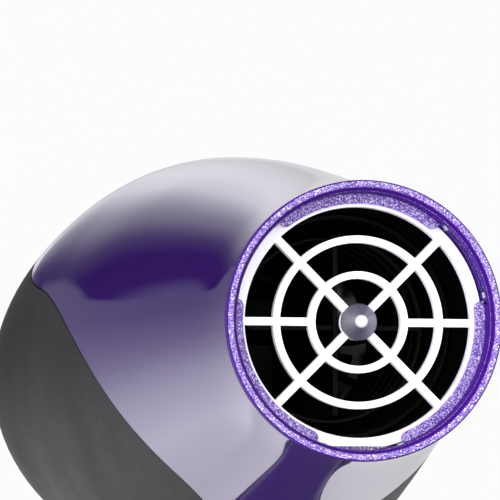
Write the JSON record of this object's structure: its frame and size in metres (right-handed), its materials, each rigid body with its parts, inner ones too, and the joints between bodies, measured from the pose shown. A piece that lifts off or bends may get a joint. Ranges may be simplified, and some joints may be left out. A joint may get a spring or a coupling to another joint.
{
  "type": "travel hair dryer",
  "caption": "Compact hair dryer with a glossy purple front shell, black soft-touch rear and handle, glitter outlet ring and white ring grille.",
  "frame": {"origin": "middle of the bounding box's bottom face, under the lowest point of the hanging loop", "axes": "barrel along Y with the outlet facing -Y and the intake at +Y, handle hanging down along -Z, X across the dryer"},
  "size_m": [0.0864, 0.1748, 0.2146],
  "materials": {
    "purple_gloss": "deep purple, high gloss lacquer",
    "purple_glitter": "light purple with fine metal flake",
    "black_soft_touch": "fine grained soft-touch coating",
    "white_ceramic": "smooth white ceramic coating",
    "turned_steel": "turned, with circular tool marks",
    "heat_plastic": "heat-resistant black moulding",
    "mica": "pressed mica sheet",
    "resistance_wire": "oxidised resistance wire",
    "motor_steel": "plated steel can",
    "duct_plastic": "dark grey moulding",
    "black_gloss": "gloss black",
    "silver_plastic": "satin silver paint on plastic",
    "circuit_green": "solder mask",
    "black_rubber": "soft black rubber",
    "screw_steel": "zinc-plated steel"
  },
  "bodies": {
    "housing": {"front_housing": "purple_gloss", "rear_housing": "black_soft_touch", "outlet_ring": "purple_glitter", "outlet_grille": "white_ceramic", "grille_hub": "turned_steel", "heat_sleeve": "heat_plastic", "mica_sleeve": "mica", "mica_board_upright": "mica", "mica_board_level": "mica", "heating_coil": "resistance_wire", "thermostat": "motor_steel", "thermal_fuse": "silver_plastic", "fan_duct": "duct_plastic", "motor": "motor_steel", "switch_panel": "black_gloss", "cool_shot_spring": "screw_steel", "cool_shot_switch": "heat_plastic", "speed_switch": "heat_plastic", "heat_switch": "heat_plastic", "circuit_board": "circuit_green", "handle_end_cap": "black_soft_touch", "cord_gland": "black_rubber", "hanging_loop": "black_rubber", "handle_screw_upper": "screw_steel", "handle_screw_lower": "screw_steel"},
    "rotor": {"fan": "duct_plastic", "motor_shaft": "screw_steel"},
    "intake_cap": {"intake_grille": "black_soft_touch", "lint_filter": "black_rubber"},
    "speed_control": {"speed_slider": "silver_plastic"},
    "heat_control": {"heat_slider": "silver_plastic"},
    "cool_shot": {"cool_shot_button": "silver_plastic"},
    "voltage_selector": {"voltage_dial": "black_gloss"}
  },
  "joints": [
    {"name": "fan_spin", "type": "hinge", "parent": "housing", "child": "rotor", "pos_m": [0, 0.0456, 0.1755], "axis": [0, 1, 0], "continuous": true},
    {"name": "intake_cap_turn", "type": "hinge", "parent": "housing", "child": "intake_cap", "pos_m": [0, 0.0846, 0.1695], "axis": [0, 1, 0], "range_deg": [0, 20]},
    {"name": "speed_slide", "type": "slide", "parent": "housing", "child": "speed_control", "axis": [0, 0, 1], "range_m": [0, 0.008]},
    {"name": "heat_slide", "type": "slide", "parent": "housing", "child": "heat_control", "axis": [0, 0, 1], "range_m": [0, 0.008]},
    {"name": "cool_shot_press", "type": "slide", "parent": "housing", "child": "cool_shot", "axis": [0, 1, 0], "range_m": [0, 0.0018], "stiffness_N_per_m": 1000, "springref_m": -0.001, "deforming": ["cool_shot_spring"]},
    {"name": "voltage_dial_turn", "type": "hinge", "parent": "housing", "child": "voltage_selector", "pos_m": [0, 0.0442, 0.0635], "axis": [0, 1, 0], "range_deg": [0, 90]}
  ]
}
